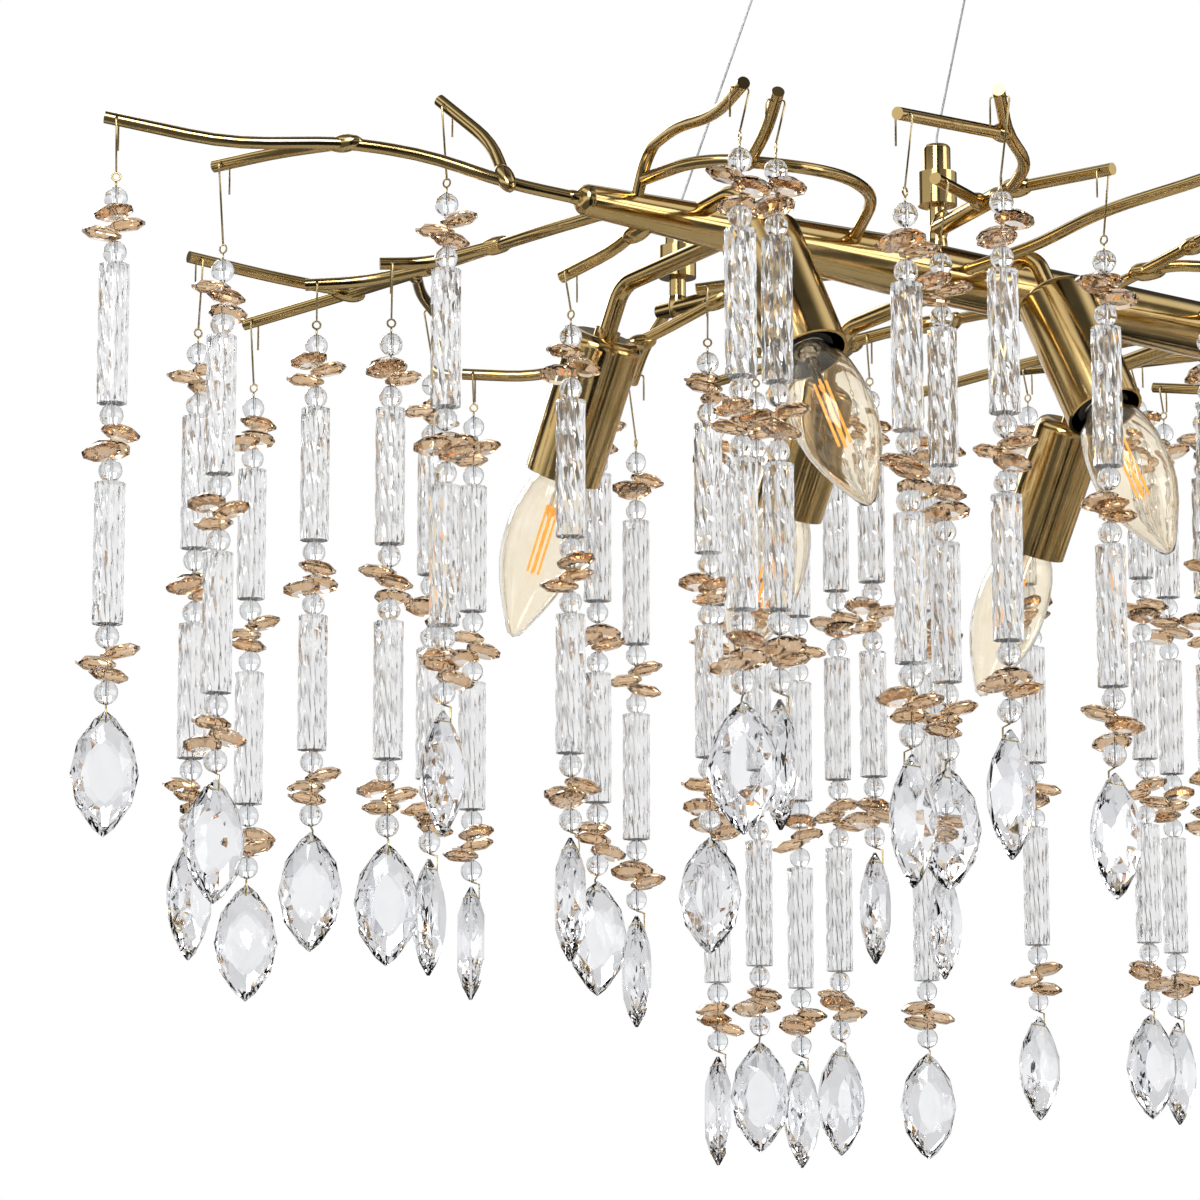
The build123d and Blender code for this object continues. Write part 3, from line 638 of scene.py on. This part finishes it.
# %% String the strands
HOOK_HALF_WIDTH = 4.5
HOOK_FREE_LEG = 14.0
HOOK_LEAD = 3.0
HOOK_BEND = 1.5
HOOK_CORNER = 0.44
STRING_GAP = 0.2
DISC_PITCH = 4.9
DISCS_PER_CLUSTER = 3
DISC_TURN = 137.0
DROP_GAP = 2.5
DROP_HOLE = 6.0
DROP_REACH = 4.2
LONG_STRAND = 0.4
CROWN_WINDOW = 0.6
FREE_LEG_WINDOW = 0.8
CLUSTER_HEIGHT = 2 * (2 * BEAD_RADIUS + STRING_GAP) + DISCS_PER_CLUSTER * DISC_PITCH


def hook_places(node, axis):
    """Place and turn of the two hooks of a pair: one along the axis, its twin across the centre."""
    points = [v.co for v in frame["nodes"][node].data.vertices]
    highest = max(p.z for p in points)
    places = []
    for side in (1, -1):
        own = [p for p in points if side * p.dot(axis) > 0]
        crown = middle([p for p in own if p.z > highest - CROWN_WINDOW * MM])
        crown.z = highest - WIRE_RADIUS * MM
        leg_end = crown.z - HOOK_FREE_LEG * MM
        leg = middle([p for p in own if abs(p.z - leg_end) < FREE_LEG_WINDOW * MM])
        away = (crown - leg).xy
        turn = math.atan2(away.y, away.x)
        places.append(Matrix.Translation(crown) @ Matrix.Rotation(turn, 4, "Z"))
    return places


def drop_turn(node, hook):
    """Turn of the drop under a hook, from the points half way up it."""
    low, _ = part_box(node)
    half_way = low.z + DROP_HEIGHT / 2 * MM
    points = [v.co for v in frame["nodes"][node].data.vertices if abs(v.co.z - half_way) < MM]
    centre = hook.to_translation().xy
    near = [p.xy - centre for p in points if (p.xy - centre).length < 2 * DROP_HALF_WIDTH * MM]
    widest = max(near, key=lambda p: p.length)
    return math.degrees(math.atan2(widest.y, widest.x) - hook.to_euler().z)


def add_shape(bm, mesh, height, turn, tilt=0.0, roll=0.0):
    """Copies a shape onto the string, turned about it and tipped."""
    start = len(bm.verts)
    bm.from_mesh(mesh)
    bm.verts.ensure_lookup_table()
    place = (Matrix.Translation((0, 0, height)) @ Matrix.Rotation(math.radians(turn), 4, "Z")
             @ Matrix.Rotation(math.radians(tilt), 4, "Y") @ Matrix.Rotation(math.radians(roll), 4, "X"))
    bmesh.ops.transform(bm, matrix=place, verts=bm.verts[start:])


def add_wire(bm, points, radius, sides, finish_number):
    """Adds a smooth wire through the points, in one of the strand's finishes."""
    start = len(bm.faces)
    tube_along(bm, points, radius, sides)
    bm.faces.ensure_lookup_table()
    for face in bm.faces[start:]:
        face.material_index = finish_number
        face.smooth = True


def strand_shape(glass_rods, first_bead, first_turn, end_turn):
    """One strand, in millimetres, hung from the origin."""
    bm = bmesh.new()
    top = -first_bead
    turn = first_turn
    for cluster in range(glass_rods + 1):
        if cluster:
            add_shape(bm, rod, top - ROD_LENGTH / 2, turn)
            top -= ROD_LENGTH + STRING_GAP
        add_shape(bm, bead, top - BEAD_RADIUS, 0)
        top -= 2 * BEAD_RADIUS + STRING_GAP
        for _ in range(DISCS_PER_CLUSTER):
            # Sine and cosine of the growing turn only serve to lean each disc differently.
            lean = DISC_TILT * math.sin(turn)
            add_shape(bm, disc, top - DISC_PITCH / 2, turn, lean, DISC_ROLL * math.cos(turn))
            top -= DISC_PITCH
            turn += DISC_TURN
        add_shape(bm, bead, top - BEAD_RADIUS, 0)
        top -= 2 * BEAD_RADIUS + STRING_GAP
    drop_top = top - DROP_GAP
    add_shape(bm, drop, drop_top, end_turn)
    ring_foot = HOOK_LEAD - first_bead
    add_shape(bm, link, ring_foot + LINK_RADIUS, 90)
    bend = [(HOOK_HALF_WIDTH - HOOK_BEND, 0, 0), (HOOK_HALF_WIDTH - HOOK_CORNER, 0, -HOOK_CORNER),
            (HOOK_HALF_WIDTH, 0, -HOOK_BEND)]
    far_bend = [(-x, y, z) for x, y, z in reversed(bend)]
    add_wire(bm, [(-HOOK_HALF_WIDTH, 0, -HOOK_FREE_LEG)] + far_bend + bend
             + [(0, 0, ring_foot + 2 * LINK_RADIUS)], WIRE_RADIUS, WIRE_SIDES, WIRE)
    add_wire(bm, [(0, 0, ring_foot), (0, 0, -first_bead - BEAD_HOLE)], WIRE_RADIUS, WIRE_SIDES, WIRE)
    add_wire(bm, [(0, 0, -first_bead - BEAD_HOLE), (0, 0, top)], LINE_RADIUS, LINE_SIDES, LINE)
    across = Matrix.Rotation(math.radians(end_turn), 3, "Z") @ Vector((0, DROP_REACH, 0))
    hole = drop_top - DROP_HOLE
    add_wire(bm, [(0, 0, top + STRING_GAP), (across.x, across.y, top - DROP_GAP / 2),
                  (across.x, across.y, hole), (-across.x, -across.y, hole)], WIRE_RADIUS, WIRE_SIDES, WIRE)
    return bm


hooks = []
strand_joints = [joint for joint in frame["joints"] if joint["child"].startswith("strand_pair")]
for number, joint in enumerate(strand_joints):
    node = joint["child"]
    low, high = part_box(node)
    height = (high.z - low.z) / MM - WIRE_RADIUS
    glass_rods = 3 if height * MM > LONG_STRAND else 2
    strung = (glass_rods + 1) * CLUSTER_HEIGHT + glass_rods * (ROD_LENGTH + STRING_GAP)
    first_bead = height - strung - DROP_GAP - DROP_HEIGHT
    places = hook_places(node, Vector(joint["axis"]))
    one = strand_shape(glass_rods, first_bead, DISC_TURN * number, drop_turn(node, places[0]))
    mesh = bpy.data.meshes.new("one_strand")
    one.to_mesh(mesh)
    one.free()
    pair = bmesh.new()
    for place in places:
        hooks.append(place.to_translation())
        start = len(pair.verts)
        pair.from_mesh(mesh)
        pair.verts.ensure_lookup_table()
        bmesh.ops.transform(pair, matrix=place @ Matrix.Scale(MM, 4), verts=pair.verts[start:])
    bmesh.ops.recalc_face_normals(pair, faces=pair.faces)
    strand = add_piece(node + "_cut_glass", pair, STRAND_FINISHES, node)
    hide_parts(node)
print("strands:", len(strand_joints), "pairs")

# %% [markdown]
# ## Brazed joints
#
# Every twig is brazed to what carries it, and the braze stays visible as a small smooth lump, longer
# along the twig than across it. The frame has no joints marked, but it tells where they are: a twig's
# root is the end far from its hook, and a stub without a hook has its root at the beam. Each lump is a
# small ball, pressed out of round by a different amount, and turned along the twig.

# %% Braze the joints
BRANCH_NODES = ["end_branches", "hanger_branches", "arch_branches", "centre_branches"]
HOOK_REACH = 5 * MM
ROOT_REACH = 9 * MM
TWIG_REACH = 6 * ROOT_REACH
THINNEST_LUMP = 3.0 * MM
THICKEST_LUMP = 4.5 * MM
LUMP_SWELL = 1.12
LUMP_STRETCH = 2.1
LUMP_UNEVEN = 0.10
LUMP_SMOOTHING = 0.5
random.seed(7)


def twig_root(points):
    """Root of a twig, the way it leaves there, and its half thickness."""
    near = min(hooks, key=lambda hook: min((p - hook).length for p in points))
    if min((p - near).length for p in points) < HOOK_REACH:
        end = max(points, key=lambda p: (p - near).length)
    else:
        end = min(points, key=lambda p: Vector((p.y, p.z - beam_height)).length)
    close = [p for p in points if (p - end).length < ROOT_REACH]
    root = middle(close)
    further = middle([p for p in points if ROOT_REACH < (p - end).length < TWIG_REACH] or points)
    return root, (further - root).normalized(), min(THICKEST_LUMP, (end - root).length)


beam_low, beam_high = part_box("main_beam")
beam_height = (beam_low.z + beam_high.z) / 2
lumps = bmesh.new()
count = 0
for node in BRANCH_NODES:
    for points in separate_solids(node):
        root, along, thickness = twig_root(points)
        size = max(THINNEST_LUMP, thickness) * LUMP_SWELL
        made = bmesh.ops.create_icosphere(lumps, subdivisions=3, radius=size)["verts"]
        for vert in made:
            vert.co *= 1 + LUMP_UNEVEN * (random.random() - 0.5)
        bmesh.ops.scale(lumps, verts=made, vec=(1, 1, LUMP_STRETCH))
        bmesh.ops.smooth_vert(lumps, verts=made, factor=LUMP_SMOOTHING, use_axis_x=True, use_axis_y=True,
                              use_axis_z=True)
        turn = along.to_track_quat("Z", "Y").to_matrix().to_4x4()
        bmesh.ops.transform(lumps, matrix=Matrix.Translation(root) @ turn, verts=made)
        count += 1
shade(lumps, 180)
add_piece("brazed_joints", lumps, [satin_gold], FRAME_BODY)
print("brazed joints:", count)

# %% [markdown]
# ## Candle bulbs
#
# The bulb is a clear envelope of thin glass: two skins, spun from one outline, with a hollow between
# them. Inside, a glass stem carries upright filaments. The screw base disappears into the holder, and
# gets its thread as a wavy profile.

# %% Make the bulbs
ENVELOPE_RADIUS = 20.0
ENVELOPE_LENGTH = 90.0
ENVELOPE_WALL = 1.0
ENVELOPE_STEPS = 28
BASE_RADIUS = 6.8
BASE_LENGTH = 24.0
BASE_STEPS = 20
THREAD_TURNS = 5
THREAD_PITCH = 3.2
THREAD_DEPTH = 0.7
THREAD_START = 4.4
STEM_RADIUS = 2.2
STEM_LENGTH = 24.0
STEM_STEPS = 12
FILAMENT_RADIUS = 0.65
FILAMENT_LENGTH = 36.0
FILAMENT_COUNT = 4
FILAMENT_OVERLAP = FILAMENT_LENGTH / 6
HOLDER_LENGTH = 75.0
SOCKET_RECESS = 3.0
NECK_GAP = 0.5
NECK_DROP = HOLDER_LENGTH - SOCKET_RECESS + NECK_GAP
ENVELOPE_OUTLINE = [
    (0.00, 0.50), (0.04, 0.63), (0.10, 0.77), (0.18, 0.89), (0.28, 0.97), (0.38, 1.0), (0.50, 0.985),
    (0.60, 0.91), (0.70, 0.77), (0.80, 0.58), (0.88, 0.41), (0.94, 0.28), (0.98, 0.17), (1.0, 0.0)]
GLASS, BASE, FILAMENT = range(3)


def envelope_profile(inset):
    """Radius and height down the envelope. The neck is at Z = 0."""
    length = ENVELOPE_LENGTH - 2 * inset
    return [(max(0.0, ENVELOPE_RADIUS * width - inset * (width > 0)), -inset - length * share)
            for share, width in ENVELOPE_OUTLINE]


def envelope_shape(name, inset, hollow):
    """One skin of the envelope. The inner skin faces the hollow."""
    bm = bmesh.new()
    spun_solid(bm, [(0, -inset)] + envelope_profile(inset), ENVELOPE_STEPS, closed=False)
    return kept_shape(name, bm, GLASS, TURNED, hollow)


def stem_shape():
    """The glass stem, flared where it meets the envelope."""
    bm = bmesh.new()
    foot = -ENVELOPE_WALL
    spun_solid(bm, [
        (0, foot), (5.0, foot), (3.4, foot - 3), (STEM_RADIUS, foot - 8),
        (STEM_RADIUS, foot - STEM_LENGTH + 2), (1.4, foot - STEM_LENGTH), (0, foot - STEM_LENGTH)],
        STEM_STEPS, closed=False)
    return kept_shape("stem", bm, GLASS, TURNED)


def base_shape():
    """The screw base, with a wavy thread and a contact at its foot."""
    bm = bmesh.new()
    profile = [(0, 0), (BASE_RADIUS, 0), (BASE_RADIUS, 3)]
    for turn in range(THREAD_TURNS):
        valley = THREAD_START + THREAD_PITCH * turn
        profile += [(BASE_RADIUS - THREAD_DEPTH, valley), (BASE_RADIUS, valley + THREAD_PITCH / 2)]
    profile += [(BASE_RADIUS - 1.5, 21), (3.0, BASE_LENGTH - 0.6), (2.4, BASE_LENGTH), (0, BASE_LENGTH)]
    spun_solid(bm, profile, BASE_STEPS, closed=False)
    return kept_shape("screw_base", bm, BASE, TURNED)


def filament_shape():
    """Upright filaments round the stem's end."""
    bm = bmesh.new()
    top = -ENVELOPE_WALL - STEM_LENGTH + FILAMENT_OVERLAP
    spread = STEM_RADIUS + FILAMENT_RADIUS
    for step in range(FILAMENT_COUNT):
        made = bmesh.ops.create_cone(bm, cap_ends=True, segments=8, radius1=FILAMENT_RADIUS,
                                     radius2=FILAMENT_RADIUS, depth=FILAMENT_LENGTH)["verts"]
        bmesh.ops.translate(bm, verts=made, vec=(spread, 0, top - FILAMENT_LENGTH / 2))
        bmesh.ops.rotate(bm, verts=made, cent=(0, 0, 0),
                         matrix=Matrix.Rotation(math.tau * (step + 0.5) / FILAMENT_COUNT, 3, "Z"))
    return kept_shape("filaments", bm, FILAMENT, TURNED)


bulb_meshes = [
    envelope_shape("envelope_outside", 0.0, False), envelope_shape("envelope_inside", ENVELOPE_WALL, True),
    stem_shape(), base_shape(), filament_shape()]
bulb_joints = [joint for joint in frame["joints"] if joint["child"].startswith("bulb")]
for joint in bulb_joints:
    axis = Vector(joint["axis"])
    neck = Vector(joint["pos_m"]) + axis * NECK_DROP * MM
    turn = axis.to_track_quat("-Z", "Y").to_matrix().to_4x4()
    place = Matrix.Translation(neck) @ turn @ Matrix.Scale(MM, 4)
    bm = bmesh.new()
    for mesh in bulb_meshes:
        bm.from_mesh(mesh)
    bmesh.ops.transform(bm, matrix=place, verts=bm.verts)
    bulb = add_piece(joint["child"] + "_lamp", bm, [amber_glass, lamp_nickel, filament_coating],
                     joint["child"])
    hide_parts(joint["child"])
print("bulbs:", len(bulb_joints))

# %% [markdown]
# ## Light, floor and camera
#
# A white studio: the background is plain white for the camera, and the light comes from soft lamps and
# from the room round the object. Polished metal needs something dark to show its shape, so the room has
# dark upright fields between bright ones. Up the room, only the horizon and a band high above it are
# bright. All this is seen in reflections alone. Cut glass sees the same room much paler, so that its
# facets stay bright and only their edges draw grey lines.

# %% Light the studio
FIELDS = [(0.00, 1.0), (0.10, 1.0), (0.115, 0.04), (0.16, 0.04), (0.18, 0.4), (0.33, 0.4), (0.37, 1.0),
          (0.47, 1.0), (0.53, 0.06), (0.59, 0.06), (0.61, 1.0), (0.68, 0.75), (0.78, 1.0), (0.80, 0.08),
          (0.84, 0.08), (0.86, 1.0), (1.00, 1.0)]
BELTS = [(0.00, 0.12), (0.44, 0.12), (0.52, 1.0), (0.61, 1.0), (0.66, 0.12), (0.77, 0.12), (0.81, 1.0),
         (0.89, 1.0), (0.93, 0.2), (1.00, 0.2)]
PALER_IN_GLASS = 0.74
WHITE = (1, 1, 1, 1)

world = bpy.data.worlds.new("white_studio")
bpy.context.scene.world = world
world.use_nodes = True
tree = world.node_tree
tree.nodes.clear()


def grey_steps(tree, value, steps):
    """A ramp of greys at the given positions."""
    ramp = tree.nodes.new("ShaderNodeValToRGB")
    while len(ramp.color_ramp.elements) < len(steps):
        ramp.color_ramp.elements.new(1.0)
    for element, (position, grey) in zip(ramp.color_ramp.elements, steps):
        element.position = position
        element.color = (grey, grey, grey, 1)
    tree.links.new(value, ramp.inputs["Fac"])
    return ramp.outputs["Color"]


def mixed(tree, factor, under, over, way="MIX"):
    """Lays one colour over another. The factor is a number or a socket."""
    mix = tree.nodes.new("ShaderNodeMix")
    mix.data_type = "RGBA"
    mix.blend_type = way
    for socket, value in (("Factor", factor), ("A", under), ("B", over)):
        target = next(s for s in mix.inputs if s.enabled and s.name == socket)
        if isinstance(value, bpy.types.NodeSocket):
            tree.links.new(value, target)
        else:
            target.default_value = value
    return next(s for s in mix.outputs if s.enabled)


coords = tree.nodes.new("ShaderNodeTexCoord")
around = tree.nodes.new("ShaderNodeTexGradient")
around.gradient_type = "RADIAL"
split = tree.nodes.new("ShaderNodeSeparateXYZ")
height = tree.nodes.new("ShaderNodeMapRange")
height.inputs["From Min"].default_value = -1.0
background = tree.nodes.new("ShaderNodeBackground")
output = tree.nodes.new("ShaderNodeOutputWorld")
ray = tree.nodes.new("ShaderNodeLightPath")
tree.links.new(coords.outputs["Generated"], around.inputs["Vector"])
tree.links.new(coords.outputs["Generated"], split.inputs["Vector"])
tree.links.new(split.outputs["Z"], height.inputs["Value"])
room = mixed(tree, 1.0, grey_steps(tree, around.outputs["Fac"], FIELDS),
             grey_steps(tree, height.outputs["Result"], BELTS), "MULTIPLY")
paler = mixed(tree, PALER_IN_GLASS, room, WHITE)
seen = mixed(tree, ray.outputs["Is Transmission Ray"], room, paler)
seen = mixed(tree, ray.outputs["Is Camera Ray"], seen, WHITE)
tree.links.new(seen, background.inputs["Color"])
tree.links.new(background.outputs["Background"], output.inputs["Surface"])
print("room:", len(FIELDS), "steps round it and", len(BELTS), "up it")


def soft_lamp(name, place, aim, size, power):
    """A square area lamp that faces a point."""
    lamp = bpy.data.lights.new(name, "AREA")
    lamp.size = size
    lamp.energy = power
    holder = bpy.data.objects.new(name, lamp)
    holder.location = place
    holder.rotation_euler = (Vector(aim) - Vector(place)).to_track_quat("-Z", "Y").to_euler()
    bpy.context.scene.collection.objects.link(holder)
    return holder


centre = (cad_low + cad_high) / 2
soft_lamp("key_lamp", (-2.2, -1.2, 0.9), centre, 1.2, 34)
soft_lamp("fill_lamp", (1.2, -2.4, 0.2), centre, 1.5, 18)
soft_lamp("rim_lamp", (0.4, 2.6, 0.9), centre, 1.2, 20)

# %% [markdown]
# The chandelier hangs in the air, so the floor lies well below it, as in a room. It sends some light back
# up and takes the shadow. It is stage, and not a part of the object.

# %% Lay the floor
FLOOR_DROP = 1.6
FLOOR_SIZE = 3.0
FLOOR_ROUGHNESS = 0.7
floor_bm = bmesh.new()
bmesh.ops.create_grid(floor_bm, x_segments=1, y_segments=1, size=FLOOR_SIZE / 2)
bmesh.ops.translate(floor_bm, verts=floor_bm.verts, vec=(centre.x, centre.y, cad_low.z - FLOOR_DROP))
floor_mesh = bpy.data.meshes.new("studio_floor")
floor_bm.to_mesh(floor_mesh)
floor_bm.free()
floor_finish, floor_tree, floor_shader = new_finish("pale_floor")
tinted(floor_tree, noise(floor_tree, 3.0), (0.80, 0.80, 0.80), (0.84, 0.84, 0.84),
       floor_shader.inputs["Base Color"])
floor_shader.inputs["Roughness"].default_value = FLOOR_ROUGHNESS
floor_mesh.materials.append(floor_finish)
floor = bpy.data.objects.new("studio_floor", floor_mesh)
bpy.context.scene.collection.objects.link(floor)
floor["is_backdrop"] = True
print("floor:", FLOOR_SIZE, "m square,", FLOOR_DROP, "m below the lowest drop")

# %% [markdown]
# The camera stands below the beam, off the near corner, and looks along the fixture and a little upwards,
# so that the beam runs away to the right. A long lens keeps the strands upright.

# %% Place the camera
CAMERA_PLACE = Vector((-1.630, -1.498, -0.921))
CAMERA_HEADING = Vector((0.629, 0.777))
CAMERA_PITCH = math.radians(9.7)
CAMERA_LENS = 125.4
SENSOR_WIDTH = 36.0
camera_data = bpy.data.cameras.new("camera")
camera_data.sensor_width = SENSOR_WIDTH
camera_data.lens = CAMERA_LENS
camera = bpy.data.objects.new("camera", camera_data)
bpy.context.scene.collection.objects.link(camera)
heading = CAMERA_HEADING.normalized()
level = heading * math.cos(CAMERA_PITCH)
sight = Vector((level.x, level.y, math.sin(CAMERA_PITCH)))
camera.location = CAMERA_PLACE
camera.rotation_euler = sight.to_track_quat("-Z", "Y").to_euler()
bpy.context.scene.camera = camera
bpy.context.scene.view_settings.view_transform = "Standard"
print("camera:", [round(c, 3) for c in CAMERA_PLACE], "lens", CAMERA_LENS)

# %% [markdown]
# ## Size
#
# The dressed model has to fill the same box as the measured one. Both boxes are written down, so that they
# can be compared.

# %% Measure and finish
low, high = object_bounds()
print("box:", [round(s, 3) for s in high - low])
